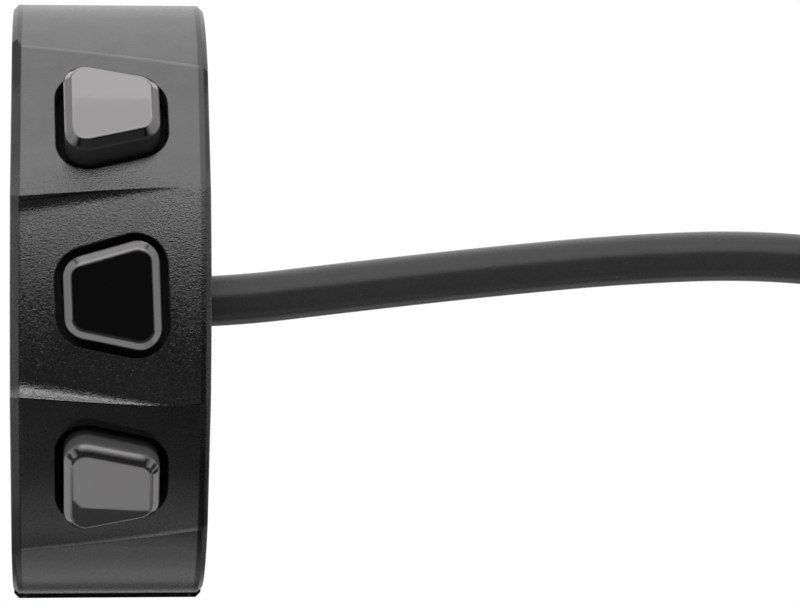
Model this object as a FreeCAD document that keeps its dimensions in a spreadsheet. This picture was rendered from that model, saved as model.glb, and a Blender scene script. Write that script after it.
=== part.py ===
# A three-button switch for a motorbike handlebar, in millimetres.
# X runs along the bar towards the cable, the buttons face -Y and Z is up.
# The origin is the centre of the bore that clamps the bar.
import FreeCAD, Part
import Sketcher
import math
import os
import re
from functools import partial

V = FreeCAD.Vector
Rotation = FreeCAD.Rotation
Placement = FreeCAD.Placement

# Every driving size: its name, its value and what it is. Angles are in degrees.
# A "reach" or "level" is a distance from the bar's axis along a button's own direction.
SIZES = [
    ("bar_radius", 11.1, "bore, for a 22.2 mm bar"),
    ("ring_width", 12.7, "along the bar"),
    ("rim_chamfer", 0.35, "on the outer rims of both halves"),
    ("left_chamfer", 0.58, "where the flats and the scoop meet the left rim"),
    ("right_chamfer", 0.3, "where the flats and the scoop meet the right rim"),
    ("joint_gap", 0.8, "between the two halves before they are tightened"),
    ("rear_drop", 0.4, "how far the rear half's outside sits below the front half's"),
    ("near_angle_left", 17.4, "where a flat starts on the left rim, from the middle button"),
    ("near_angle_right", 20.0, "where a flat starts on the right rim"),
    ("far_angle_left", 55.8, "where a flat ends on the left rim"),
    ("far_angle_right", 48.6, "where a flat ends on the right rim"),
    ("scoop_left", 1.0, "depth of the scoop's floor at the left rim"),
    ("scoop_fade", 0.1, "how far the scoop's floor ends above the outside, at the right rim"),
    ("ledge_left", 6.5, "half height of the scoop at the left rim"),
    ("ledge_right", 7.5, "half height of the scoop at the right rim"),
    ("hollow_left", 1.2, "hollow radius of the scoop's ledges at the left rim"),
    ("hollow_right", 0.2, "hollow radius of the scoop's ledges at the right rim"),
    ("button_angle", 36.6, "between neighbouring buttons"),
    ("button_shift", 0.1, "how far the buttons stand to the right of the ring's middle"),
    ("upper_twist", 1.3, "turn of the upper cap and pocket about their own axis"),
    ("middle_twist", 2.2, "turn of the middle cap and pocket about their own axis"),
    ("cap_width", 5.1, "flat face of a cap along the bar"),
    ("cap_long", 6.4, "flat face's long side"),
    ("cap_short", 3.9, "flat face's short side"),
    ("cap_bevel", 0.5, "all round the flat face"),
    ("cap_corner", 1.4, "corner radius of a cap's outline"),
    ("cap_proud", 0.85, "a cap's flat face above the ring's outside"),
    ("cap_height", 2.85, "cap from its underside to its flat face"),
    ("cap_gap", 0.55, "between a cap and its pocket"),
    ("pocket_corner", 2.1, "corner radius of a pocket's outline"),
    ("floor_wall", 1.0, "housing left under a pocket"),
    ("button_travel", 0.5, "how far a cap goes in"),
    ("travel_spare", 0.1, "left under a cap that is pushed in"),
    ("stem_width", 3.4, "cap's stem along the bar"),
    ("stem_depth", 2.6, "cap's stem across the bar"),
    ("stem_gap", 0.2, "round the stem in the housing"),
    ("seal_height", 0.5, "soft seal under the pocket's floor"),
    ("seal_gap", 0.1, "round the stem in its seal"),
    ("press_gap", 0.02, "between pieces that are pushed together"),
    ("bay_wall", 2.95, "housing left and right of the space under a pocket"),
    ("bay_depth", 5.2, "space under a pocket, across the bar"),
    ("plunger_width", 4.2, "foot on the stem, along the bar"),
    ("plunger_depth", 3.8, "foot on the stem, across the bar"),
    ("plunger_height", 0.8, "thickness of that foot"),
    ("plunger_play", 0.05, "between foot and seal, and between nub and dome"),
    ("socket_depth", 0.5, "how far the stem sits in its foot"),
    ("nub_radius", 0.8, "nub that presses the dome"),
    ("nub_spare", 0.2, "nub's length beyond the cap's travel"),
    ("dome_radius", 1.7, "snap dome's rim"),
    ("dome_rise", 0.75, "height of the snap dome"),
    ("dome_sheet", 0.1, "snap dome's sheet"),
    ("dome_gap", 0.15, "round the dome's rim"),
    ("base_size", 4.4, "switch base, square"),
    ("base_rim", 0.15, "switch base's rim above the dome"),
    ("base_floor", 0.35, "switch base under the dome"),
    ("board_thick", 0.7, "stiff part of the board"),
    ("board_room", 0.45, "between the gasket and the board"),
    ("board_depth", 5.8, "stiff part across the bar"),
    ("board_gap", 0.1, "round the stiff parts"),
    ("flex_thick", 0.15, "flexible strip of the board"),
    ("flex_width", 4.0, "flexible strip along the bar"),
    ("flex_lap_angle", 1.0, "how far a strip runs into a stiff part"),
    ("flex_room", 0.3, "over and beside the strips in their channel"),
    ("cover_thick", 0.7, "inner cover, flush with the bore"),
    ("gasket_thick", 0.25, "gasket on the cover"),
    ("cover_rim", 0.9, "housing left beside the inner cover"),
    ("cover_angle", 66.0, "half angle that the cover spans"),
    ("window_room", 0.7, "gasket's window left and right of the board"),
    ("window_angle", 51.0, "half angle of the gasket's window"),
    ("cover_gap", 0.05, "round the cover in its recess"),
    ("cover_screw_angle", 58.0, "half angle between the cover's screws"),
    ("cover_screw_radius", 0.78, "shank of a cover screw"),
    ("cover_screw_length", 3.2, "whole cover screw"),
    ("cover_head_radius", 1.3, "head of a cover screw"),
    ("cover_head_height", 0.4, "head of a cover screw"),
    ("cover_head_sink", 0.1, "head under the bore's surface"),
    ("cover_screw_slot", 0.35, "slot in a cover screw's head"),
    ("screw_depth", 4.5, "clamp screws outside the bore's surface"),
    ("screw_radius", 1.5, "M3 shank"),
    ("screw_hole", 1.6, "clearance hole in the rear half"),
    ("screw_length", 12.0, "shank under the head"),
    ("thread_gap", 0.02, "round a shank in its threaded hole"),
    ("thread_depth", 8.0, "threaded holes in the front half"),
    ("head_radius", 2.75, "M3 socket head"),
    ("head_height", 3.0, "M3 socket head"),
    ("hex_across", 2.5, "socket in the head, across its flats"),
    ("hex_depth", 1.6, "socket in the head"),
    ("seat_level", 4.5, "how far behind the bar's axis the heads sit"),
    ("head_hole", 2.95, "counterbore round a head"),
    ("cable_radius", 1.625, "cable"),
    ("cable_rise", 1.4, "cable's axis over the board"),
    ("cable_drop", 0.3, "cable's axis below the middle button"),
    ("bush_wall", 1.5, "housing's wall round the bush, along the bar"),
    ("bush_sleeve", 0.3, "bush's wall round the cable"),
    ("flange_lip", 0.25, "how far the bush's flange stands out of its hole"),
    ("flange_thick", 0.5, "bush's flange inside the wall"),
    ("flange_gap", 0.1, "round the flange in its recess"),
    ("crimp_wall", 0.4, "crimp ring on the cable"),
    ("crimp_length", 0.45, "crimp ring on the cable"),
    ("wire_radius", 0.25, "inner wire"),
    ("wire_pitch", 0.62, "between inner wires"),
    ("wire_bend", 0.5, "bend of an inner wire"),
    ("wire_gap", 0.1, "between an inner wire and the switch base"),
    ("coil_gap", 0.7, "between neighbouring turns of the coil"),
    ("coil_middle", 17.9, "radius at the middle of the turns"),
    ("coil_right", 60.05, "where the cable enters the coil, to the right of its exit"),
    ("coil_low", 44.2, "coil's centre, below the cable's exit"),
    ("coil_back", 0.9, "coil's first layer, behind the cable's exit"),
    ("coil_run", 14.5, "straight run down into the coil"),
    ("tie_width", 2.5, "band that ties the coil"),
    ("tie_thick", 0.9, "band that ties the coil"),
    ("tie_gap", 0.2, "between the band and the turns"),
    ("tie_head", 3.6, "the band's lock, square"),
    ("tie_tail", 6.0, "the band's free end"),
    ("sleeve_radius", 1.9, "sleeve where the leads leave the cable"),
    ("sleeve_length", 10.0, "sleeve where the leads leave the cable"),
    ("sleeve_gap", 0.3, "between the sleeve and the last turn"),
    ("lead_radius", 0.55, "one of the four leads"),
    ("lead_length", 14.0, "leads below the sleeve"),
    ("lead_gap", 0.1, "between leads where they leave the sleeve"),
    ("lead_spread", 2.2, "how far the front leads end to the side of the cable"),
    ("lead_spread_behind", 1.2, "how far the rear leads end to the side of the cable"),
    ("lead_fan", 0.85, "how far the leads end before or behind the cable"),
    ("tip_radius", 0.35, "tinned wire end"),
    ("tip_length", 5.0, "tinned wire end"),
]
SIZE = {name: number for name, number, meaning in SIZES}
NAMES = re.compile(r"\b(" + "|".join(SIZE) + r")\b")

BUTTONS = {"upper": 1, "middle": 0, "lower": -1}
TWISTS = {"upper": "upper_twist", "middle": "middle_twist"}
WIRES = 4
TOUCHING = 1e-4

doc = FreeCAD.newDocument("handlebar_switch")
sheet = doc.addObject("Spreadsheet::Sheet", "sizes")
for row, (name, number, meaning) in enumerate(SIZES, start=1):
    sheet.set(f"A{row}", name)
    sheet.set(f"B{row}", str(number))
    sheet.set(f"C{row}", meaning)
    sheet.setAlias(f"B{row}", name)
doc.recompute()

parts = []


def amount(text):
    """The number that an expression of sizes gives."""
    return FreeCAD.Units.Quantity(NAMES.sub(lambda found: str(SIZE[found[0]]), text)).Value


def cells(text):
    """An expression in which each size's name points at its cell."""
    return NAMES.sub(r"sizes.\1", str(text))


def bind(thing, sizes):
    """Ties each property of a thing to an expression."""
    for place, text in sizes.items():
        thing.setExpression(place, cells(text))
    return thing


def part(thing, label):
    """Keeps a finished sub-part under its own label."""
    thing.Label = label
    parts.append(thing)
    return thing


def turned(thing, axis=V(1, 0, 0), angle=90):
    """Sets how a thing is turned; 90 about X makes its Z point to the buttons' side.

    An expression for the angle keeps the axis that is set here.
    """
    thing.Placement = Placement(V(0, 0, 0), Rotation(axis, angle))
    return thing


def facing(thing, step):
    """Turns a thing made along +Z to face the way a button faces."""
    turned(thing)
    bind(thing, {"Placement.Base.x": "button_shift"})
    return bind(thing, {"Placement.Rotation.Angle": f"90 - {step} * button_angle"})


def box(name, corner, extent):
    """A box by its lowest corner and its extent, each three expressions."""
    made = doc.addObject("Part::Box", name)
    for axis, text in zip("xyz", corner):
        bind(made, {f"Placement.Base.{axis}": text})
    return bind(made, {"Length": extent[0], "Width": extent[1], "Height": extent[2]})


def middle_box(name, width, depth, low, high):
    """A box centred on its own Z axis, between two levels."""
    corner = (f"-({width}) / 2", f"-({depth}) / 2", low)
    return box(name, corner, (width, depth, f"({high}) - ({low})"))


def post(name, radius, low, high, place=("0", "0")):
    """A cylinder along Z between two levels."""
    made = doc.addObject("Part::Cylinder", name)
    bind(made, {"Radius": radius, "Height": f"({high}) - ({low})"})
    bind(made, {"Placement.Base.x": place[0], "Placement.Base.y": place[1]})
    return bind(made, {"Placement.Base.z": low})


def along_bar(name, radius, low, high, place=("0", "0")):
    """A cylinder along X between two places on the bar; place is its Y and Z."""
    made = turned(doc.addObject("Part::Cylinder", name), V(0, 1, 0))
    bind(made, {"Radius": radius, "Height": f"({high}) - ({low})"})
    bind(made, {"Placement.Base.x": low})
    return bind(made, {"Placement.Base.y": place[0], "Placement.Base.z": place[1]})


def across_bar(name, radius, low, high, up):
    """A cylinder along +Y between two distances behind the bar's axis."""
    made = turned(doc.addObject("Part::Cylinder", name), V(1, 0, 0), -90)
    bind(made, {"Radius": radius, "Height": f"({high}) - ({low})"})
    return bind(made, {"Placement.Base.y": low, "Placement.Base.z": up})


def cut(name, base, tools):
    made = doc.addObject("Part::Cut", name)
    made.Base = base
    made.Tool = tools[0] if len(tools) == 1 else fuse(name + "_tools", tools)
    return made


def fuse(name, pieces):
    made = doc.addObject("Part::MultiFuse", name)
    made.Shapes = pieces
    return made


def common(name, pieces):
    made = doc.addObject("Part::MultiCommon", name)
    made.Shapes = pieces
    return made


def group(name, pieces):
    """Separate solids kept together as one sub-part."""
    made = doc.addObject("Part::Compound", name)
    made.Links = pieces
    return made


def kept_shape(name, shape):
    made = doc.addObject("Part::Feature", name)
    made.Shape = shape
    return made


def plane_of(body, role):
    return [plane for plane in body.Origin.OriginFeatures if plane.Role == role][0]


def outline(body, name, role, corners, level="0"):
    """A closed outline of straight sides; each corner is locked by two expressions."""
    sketch = body.newObject("Sketcher::SketchObject", name)
    sketch.AttachmentSupport = [(plane_of(body, role), "")]
    sketch.MapMode = "FlatFace"
    bind(sketch, {"AttachmentOffset.Base.z": level})
    count = len(corners)
    start = [V(math.cos(math.tau * k / count), math.sin(math.tau * k / count), 0) for k in range(count)]
    for k in range(count):
        sketch.addGeometry(Part.LineSegment(start[k], start[(k + 1) % count]))
    for k in range(count):
        sketch.addConstraint(Sketcher.Constraint("Coincident", k, 2, (k + 1) % count, 1))
    for k, corner in enumerate(corners):
        for kind, text, place in zip(("DistanceX", "DistanceY"), corner, start[k]):
            index = sketch.addConstraint(Sketcher.Constraint(kind, -1, 1, k, 1, place))
            bind(sketch, {f"Constraints[{index}]": text})
    return sketch


def pad(body, sketch, length, both_ways=False):
    made = body.newObject("PartDesign::Pad", sketch.Name + "_pad")
    made.Profile = sketch
    made.Midplane = both_ways
    return bind(made, {"Length": length})


def edges_of(shape, wanted):
    """The numbers of the edges that a test picks, counted from 1."""
    return [k for k, edge in enumerate(shape.Edges, start=1) if wanted(edge)]


# A cap's outline, and its pocket's, is this trapezoid moved outwards by some distance.
SLANT = "atan((cap_long - cap_short) / (2 * cap_width))"


def trapezoid_corners(out, side):
    """Corners of a cap's face moved outwards; the long sides alternate: left, right, left."""
    half = f"(cap_width / 2 + {out})"
    middle = f"((cap_long + cap_short) / 4 + ({out}) / cos({SLANT}))"
    wide = f"({middle} + {half} * tan({SLANT}))"
    slim = f"({middle} - {half} * tan({SLANT}))"
    left, right = (slim, wide) if side == "middle" else (wide, slim)
    corners = [(f"-{half}", f"-{left}"), (half, f"-{right}"), (half, right), (f"-{half}", left)]
    if side in TWISTS:
        turn = f"{TWISTS[side]} * 1 deg"
        corners = [(f"{across} * cos({turn}) - {up} * sin({turn})",
                    f"{across} * sin({turn}) + {up} * cos({turn})") for across, up in corners]
    return corners


def is_upright(edge):
    ends = edge.Vertexes
    return len(ends) == 2 and (ends[0].Point - ends[1].Point).cross(V(0, 0, 1)).Length < TOUCHING


def rounded_prism(name, corners, low, high, corner):
    """A prism along Z between two levels, its upright edges rounded."""
    body = doc.addObject("PartDesign::Body", name)
    block = pad(body, outline(body, name + "_outline", "XY_Plane", corners, low), f"({high}) - ({low})")
    doc.recompute()
    rounded = body.newObject("PartDesign::Fillet", name + "_corners")
    rounded.Base = (block, [f"Edge{k}" for k in edges_of(block.Shape, is_upright)])
    bind(rounded, {"Radius": corner})
    doc.recompute()
    return body


def rectangle(left, right, low, high):
    """Corners of a rectangle for an outline."""
    return [(left, low), (right, low), (right, high), (left, high)]


def arc_plate(name, inner, outer, width, half_angle, turn="0"):
    """Part of a ring round the bar, centred on the middle button's direction or turned from it."""
    body = doc.addObject("PartDesign::Body", name)
    half = f"(({width}) / 2)"
    corners = rectangle(f"-{half}", half, f"-({outer})", f"-({inner})")
    sketch = outline(body, name + "_outline", "XY_Plane", corners)
    sweep = body.newObject("PartDesign::Revolution", name + "_sweep")
    sweep.Profile = sketch
    sweep.ReferenceAxis = (sketch, ["H_Axis"])
    sweep.Midplane = True
    bind(sweep, {"Angle": f"2 * ({half_angle})"})
    turned(body, angle=-1)
    return bind(body, {"Placement.Rotation.Angle": f"-({turn})"})


# How far cutters reach past a rim, and past the ring's outside
OVER = 1.0
BEYOND = 3.0

# Levels that several pieces share, worked out from the sizes, from the bore's surface outwards
COVER_TOP = "(bar_radius + cover_thick)"
GASKET_TOP = f"({COVER_TOP} + gasket_thick)"
BOARD_LEVEL = f"({GASKET_TOP} + board_room + board_thick)"
DOME_SEAT = f"({BOARD_LEVEL} + base_floor)"
DOME_TOP = f"({DOME_SEAT} + dome_rise)"
NUB_END = f"({DOME_TOP} + plunger_play)"
FOOT_BOTTOM = f"({NUB_END} + button_travel + nub_spare)"
FOOT_TOP = f"({FOOT_BOTTOM} + plunger_height)"
STEM_END = f"({FOOT_TOP} - socket_depth)"
CEILING = f"({FOOT_TOP} + plunger_play + seal_height)"
POCKET_FLOOR = f"({CEILING} + floor_wall)"
CAP_BOTTOM = f"({POCKET_FLOOR} + button_travel + travel_spare)"
CAP_TOP = f"({CAP_BOTTOM} + cap_height)"
RING = f"({CAP_TOP} - cap_proud)"
CLEAR = f"({RING} + {BEYOND})"
SCREW_TOP = "(bar_radius + cover_head_sink)"
SCREW_UP = "(bar_radius + screw_depth)"

# Places along the bar, and the cable's axis
RIM = "(ring_width / 2)"
PAST_RIM = f"({RIM} + {OVER})"
BAY_WIDTH = "(ring_width - 2 * bay_wall)"
BOARD_WIDTH = f"({BAY_WIDTH} - 2 * board_gap)"
COVER_WIDTH = "(ring_width - 2 * cover_rim)"
WALL_INSIDE = f"({RIM} - bush_wall)"
FLANGE_INSIDE = f"({WALL_INSIDE} - flange_thick)"
CABLE_START = f"({FLANGE_INSIDE} - crimp_length)"
CABLE_REACH = f"({BOARD_LEVEL} + cable_rise)"
CABLE_AXIS = (f"-{CABLE_REACH}", "-cable_drop")
CABLE_HOLE = "(cable_radius + press_gap)"
BUSH_HOLE = f"({CABLE_HOLE} + bush_sleeve + press_gap)"
FLANGE_RADIUS = f"({BUSH_HOLE} + flange_lip)"
SIDES = {"upper": 1, "lower": -1}


# Front housing


def from_rim_to_rim(left, right, place):
    """A size that changes steadily from the left rim to the right one, at a place on the bar."""
    return left + (right - left) * (0.5 + place / SIZE["ring_width"])


def flat_section(sign, place, out):
    """Outline of a flat's cutter across the bar, grown by some distance."""
    ring = amount(RING)
    ends = []
    for which in ("near", "far"):
        at_rims = []
        for rim in ("left", "right"):
            angle = math.radians(SIZE[f"{which}_angle_{rim}"])
            at_rims.append(V(0, -ring * math.cos(angle), sign * ring * math.sin(angle)))
        ends.append(V(place, 0, 0) + from_rim_to_rim(*at_rims, place))
    near, far = ends
    along = (far - near).normalize()
    away = V(0, along.z, -along.y) * sign * -1
    near, far = near - along * BEYOND - away * out, far + along * BEYOND - away * out
    return Part.makePolygon([near, far, far + away * ring, near + away * ring, near])


def scoop_section(place, out):
    """Outline of the scoop's cutter across the bar, grown by some distance."""
    ring = amount(RING)
    floor = from_rim_to_rim(ring - SIZE["scoop_left"], ring + SIZE["scoop_fade"], place)
    wall = from_rim_to_rim(SIZE["ledge_left"], SIZE["ledge_right"], place)
    hollow = from_rim_to_rim(SIZE["hollow_left"], SIZE["hollow_right"], place)
    centre_up = wall - hollow
    centre_out = math.sqrt((floor + hollow) ** 2 - centre_up ** 2)
    foot = (floor - out) / (floor + hollow)
    half_way = math.atan2(centre_up, centre_out) / 2 + math.pi * 3 / 4
    far = ring + BEYOND

    def at(reach, up):
        return V(place, -reach, up)

    def side(sign):
        foot_point = at(centre_out * foot, sign * centre_up * foot)
        grown = hollow + out
        middle = at(centre_out + grown * math.cos(half_way), sign * (centre_up + grown * math.sin(half_way)))
        top = at(centre_out, sign * (wall + out))
        return foot_point, middle, top

    low, high = side(-1), side(1)
    edges = [
        Part.LineSegment(at(far, -(wall + out)), low[2]),
        Part.Arc(low[2], low[1], low[0]),
        Part.Arc(low[0], at(floor - out, 0), high[0]),
        Part.Arc(high[0], high[1], high[2]),
        Part.LineSegment(high[2], at(far, wall + out)),
        Part.LineSegment(at(far, wall + out), at(far, -(wall + out))),
    ]
    return Part.Wire([edge.toShape() for edge in edges])


def rim_to_rim_cutter(name, section):
    """A cutter lofted along the bar, which flares at both rims to leave them chamfered."""
    left, right = SIZE["left_chamfer"], SIZE["right_chamfer"]
    rim = amount(RIM)
    places = ((-rim - OVER, left + OVER), (left - rim, 0), (rim - right, 0), (rim + OVER, right + OVER))
    made = doc.addObject("Part::Loft", name)
    made.Sections = [kept_shape(name + "_section", section(place, out)) for place, out in places]
    made.Solid = True
    made.Ruled = True
    return made


def chamfered_round(name):
    """The full ring's outside with its two chamfered rims."""
    plain = along_bar(name + "_round", RING, f"-{RIM}", RIM)
    doc.recompute()
    made = doc.addObject("Part::Chamfer", name + "_chamfered")
    made.Base = plain
    rims = edges_of(plain.Shape, lambda edge: len(edge.Vertexes) == 1)
    made.Edges = [(k, SIZE["rim_chamfer"], SIZE["rim_chamfer"]) for k in rims]
    return made


def radial_post(name, radius, low, high, turn):
    """A cylinder that points away from the bar, turned from the middle button's direction."""
    made = turned(doc.addObject("Part::Cylinder", name))
    bind(made, {"Radius": radius, "Height": f"({high}) - ({low})"})
    bind(made, {"Placement.Rotation.Angle": f"90 - ({turn})"})
    bind(made, {"Placement.Base.y": f"-({low}) * cos({turn})"})
    return bind(made, {"Placement.Base.z": f"({low}) * sin({turn})"})


def button_space(side, step):
    """What one button takes out of the housing: pocket, window, bay and board's seat."""
    out = "(cap_bevel + cap_gap)"
    pocket = rounded_prism(side + "_pocket", trapezoid_corners(out, side), POCKET_FLOOR, CLEAR,
                           "pocket_corner")
    window = middle_box(side + "_window", "stem_width + 2 * stem_gap", "stem_depth + 2 * stem_gap",
                        BOARD_LEVEL, f"{POCKET_FLOOR} + cap_gap")
    bay = middle_box(side + "_bay", BAY_WIDTH, "bay_depth", f"{BOARD_LEVEL} - board_gap", CEILING)
    seat = middle_box(side + "_seat", BAY_WIDTH, "board_depth + 2 * board_gap", "bar_radius", BOARD_LEVEL)
    return facing(fuse(side + "_space", [pocket, window, bay, seat]), step)


def cover_screw_holes(name, radius, high):
    return [radial_post(f"{name}_{side}", radius, "bar_radius / 2", high, f"{sign} * cover_screw_angle")
            for side, sign in SIDES.items()]


def build_front_housing():
    behind = box("behind", (f"-{PAST_RIM}", "-joint_gap / 2", f"-{CLEAR}"),
                 (f"2 * {PAST_RIM}", CLEAR, f"2 * {CLEAR}"))
    bore = along_bar("front_bore", "bar_radius", f"-{PAST_RIM}", PAST_RIM)
    scoop = rim_to_rim_cutter("scoop", scoop_section)
    flats = [rim_to_rim_cutter(f"{side}_flat", partial(flat_section, sign)) for side, sign in SIDES.items()]
    blank = cut("front_blank", chamfered_round("front"), [behind, bore, scoop] + flats)
    spaces = [button_space(side, step) for side, step in BUTTONS.items()]
    channel = arc_plate("flex_channel", "bar_radius", f"{BOARD_LEVEL} + flex_room",
                        "flex_width + 2 * flex_room", "button_angle")
    recess = arc_plate("cover_recess", "bar_radius / 2", GASKET_TOP, f"{COVER_WIDTH} + 2 * cover_gap",
                       "cover_angle + atan(cover_gap / bar_radius) / 1 deg")
    bush_hole = along_bar("bush_hole", BUSH_HOLE, f"{BAY_WIDTH} / 2", PAST_RIM, CABLE_AXIS)
    bush_recess = along_bar("bush_recess", f"{FLANGE_RADIUS} + flange_gap", f"{BAY_WIDTH} / 4",
                            WALL_INSIDE, CABLE_AXIS)
    threads = [across_bar(f"thread_{side}", "screw_radius + thread_gap", "-(joint_gap / 2 + thread_depth)",
                          "0", f"{sign} * {SCREW_UP}") for side, sign in SIDES.items()]
    small = cover_screw_holes("cover_thread", "cover_screw_radius + thread_gap",
                              f"{SCREW_TOP} + cover_screw_length + thread_gap")
    tools = spaces + [channel, recess, bush_hole, bush_recess] + threads + small
    part(cut("front_cut", blank, tools), "front_housing")


def build_rear_clamp():
    outside = chamfered_round("rear")
    bind(outside.Base, {"Placement.Base.z": "-rear_drop"})
    ahead = box("ahead", (f"-{PAST_RIM}", f"joint_gap / 2 - {CLEAR}", f"-{CLEAR}"),
                (f"2 * {PAST_RIM}", CLEAR, f"2 * {CLEAR}"))
    bore = along_bar("rear_bore", "bar_radius", f"-{PAST_RIM}", PAST_RIM)
    holes = []
    for side, sign in SIDES.items():
        up = f"{sign} * {SCREW_UP}"
        holes.append(across_bar(f"{side}_hole", "screw_hole", "0", RING, up))
        holes.append(across_bar(f"{side}_counterbore", "head_hole", "seat_level", CLEAR, up))
    part(cut("rear_cut", outside, [ahead, bore] + holes), "rear_clamp")


def build_clamp_screws():
    screws = []
    for side, sign in SIDES.items():
        up = f"{sign} * {SCREW_UP}"
        top = "seat_level + head_height"
        shank = across_bar(f"{side}_shank", "screw_radius", "seat_level - screw_length", top, up)
        head = across_bar(f"{side}_head", "head_radius", "seat_level", top, up)
        socket = turned(doc.addObject("Part::Prism", f"{side}_hex"), V(1, 0, 0), -90)
        bind(socket, {"Circumradius": "hex_across / sqrt(3)", "Height": f"hex_depth + {OVER}"})
        bind(socket, {"Placement.Base.y": f"{top} - hex_depth", "Placement.Base.z": up})
        screws.append(cut(f"{side}_screw", fuse(f"{side}_screw_blank", [shank, head]), [socket]))
    part(group("clamp_screw_pair", screws), "clamp_screws")


def build_cap(side, step):
    """A cap with its bevelled face and the stem under it."""
    body = rounded_prism(side + "_cap", trapezoid_corners("cap_bevel", side), CAP_BOTTOM, CAP_TOP,
                         "cap_corner")
    block = body.Tip
    top = amount(CAP_TOP) - TOUCHING
    bevel = body.newObject("PartDesign::Chamfer", side + "_cap_bevel")
    rim = edges_of(block.Shape, lambda edge: edge.BoundBox.ZMin > top)
    bevel.Base = (block, [f"Edge{k}" for k in rim])
    bind(bevel, {"Size": "cap_bevel"})
    corners = rectangle("-stem_width / 2", "stem_width / 2", "-stem_depth / 2", "stem_depth / 2")
    stem = outline(body, side + "_stem", "XY_Plane", corners, STEM_END)
    pad(body, stem, f"{CAP_BOTTOM} + cap_bevel - {STEM_END}")
    part(facing(body, step), side + "_button_cap")


def build_seal(side, step):
    low = f"({CEILING} - seal_height)"
    sheet_box = middle_box(side + "_seal_box", f"{BAY_WIDTH} - 2 * press_gap",
                           "bay_depth - 2 * press_gap", low, CEILING)
    window = middle_box(side + "_seal_window", "stem_width + 2 * seal_gap", "stem_depth + 2 * seal_gap",
                        FOOT_BOTTOM, POCKET_FLOOR)
    part(facing(cut(side + "_seal", sheet_box, [window]), step), side + "_button_seal")


def build_plunger(side, step):
    foot = middle_box(side + "_foot", "plunger_width", "plunger_depth", FOOT_BOTTOM, FOOT_TOP)
    nub = post(side + "_nub", "nub_radius", NUB_END, FOOT_TOP)
    socket = middle_box(side + "_socket", "stem_width + 2 * press_gap", "stem_depth + 2 * press_gap",
                        STEM_END, POCKET_FLOOR)
    made = cut(side + "_plunger", fuse(side + "_plunger_blank", [foot, nub]), [socket])
    part(facing(made, step), side + "_plunger")


def build_dome(side, step):
    """A shallow dome of thin sheet, which snaps down under the nub."""
    round_radius = "((dome_radius ^ 2 + dome_rise ^ 2) / (2 * dome_rise))"
    shells = []
    for name, thinner in (("outside", "0"), ("inside", "dome_sheet")):
        ball = doc.addObject("Part::Sphere", f"{side}_dome_{name}")
        bind(ball, {"Radius": f"{round_radius} - {thinner}"})
        shells.append(bind(ball, {"Placement.Base.z": f"{DOME_TOP} - {round_radius}"}))
    keep = post(side + "_dome_rim", "dome_radius + dome_gap", DOME_SEAT, CEILING)
    made = common(side + "_dome", [cut(side + "_dome_sheet", shells[0], [shells[1]]), keep])
    part(facing(made, step), side + "_snap_dome")


def build_switch_base(side, step):
    top = f"{DOME_TOP} + base_rim"
    block = middle_box(side + "_base_box", "base_size", "base_size", BOARD_LEVEL, top)
    well = post(side + "_well", "dome_radius + dome_gap", DOME_SEAT, CEILING)
    part(facing(cut(side + "_base", block, [well]), step), side + "_switch_base")


def build_circuit_board():
    """Three stiff pads, one under each switch, joined by two flexible strips."""
    pieces = []
    for side, step in BUTTONS.items():
        pad_box = middle_box(side + "_board", BOARD_WIDTH, "board_depth",
                             f"{BOARD_LEVEL} - board_thick", BOARD_LEVEL)
        pieces.append(facing(group(side + "_board_turned", [pad_box]), step))
    middle = f"sqrt(({BOARD_LEVEL} - board_thick / 2) ^ 2 + (board_depth / 2) ^ 2)"
    reach = f"(button_angle / 2 - atan(board_depth / 2 / {BOARD_LEVEL}) / 1 deg + flex_lap_angle)"
    for side, sign in SIDES.items():
        pieces.append(arc_plate(side + "_strip", f"{middle} - flex_thick / 2", f"{middle} + flex_thick / 2",
                                "flex_width", reach, f"{sign} * button_angle / 2"))
    part(fuse("board", pieces), "circuit_board")


def build_cover():
    """The arc plate that closes the wiring space, its gasket and its two screws."""
    plate = arc_plate("cover_plate", "bar_radius", COVER_TOP, COVER_WIDTH, "cover_angle")
    holes = cover_screw_holes("cover_hole", "cover_screw_radius + stem_gap / 2", GASKET_TOP)
    sinks = cover_screw_holes("cover_sink", "cover_head_radius + cover_gap",
                              f"{SCREW_TOP} + cover_head_height")
    part(cut("cover", plate, holes + sinks), "inner_cover")
    sheet_arc = arc_plate("gasket_sheet", COVER_TOP, GASKET_TOP, COVER_WIDTH, "cover_angle")
    window = arc_plate("gasket_window", "bar_radius", BOARD_LEVEL,
                       f"{BOARD_WIDTH} + 2 * window_room", "window_angle")
    holes = cover_screw_holes("gasket_hole", "cover_screw_radius + stem_gap / 2", BOARD_LEVEL)
    part(cut("gasket", sheet_arc, [window] + holes), "cover_gasket")
    screws = []
    for side, sign in SIDES.items():
        turn = f"{sign} * cover_screw_angle"
        head_top = f"{SCREW_TOP} + cover_head_height"
        head = radial_post(f"{side}_cover_head", "cover_head_radius", SCREW_TOP, head_top, turn)
        shank = radial_post(f"{side}_cover_shank", "cover_screw_radius", SCREW_TOP,
                            f"{SCREW_TOP} + cover_screw_length", turn)
        slot_box = middle_box(f"{side}_slot_box", "ring_width", "cover_screw_slot", "bar_radius",
                              f"{SCREW_TOP} + cover_head_height / 2")
        slot = group(f"{side}_slot", [slot_box])
        turned(slot)
        bind(slot, {"Placement.Rotation.Angle": f"90 - ({turn})"})
        screws.append(cut(f"{side}_cover_screw", fuse(f"{side}_cover_blank", [head, shank]), [slot]))
    part(group("cover_screw_pair", screws), "cover_screws")


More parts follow.
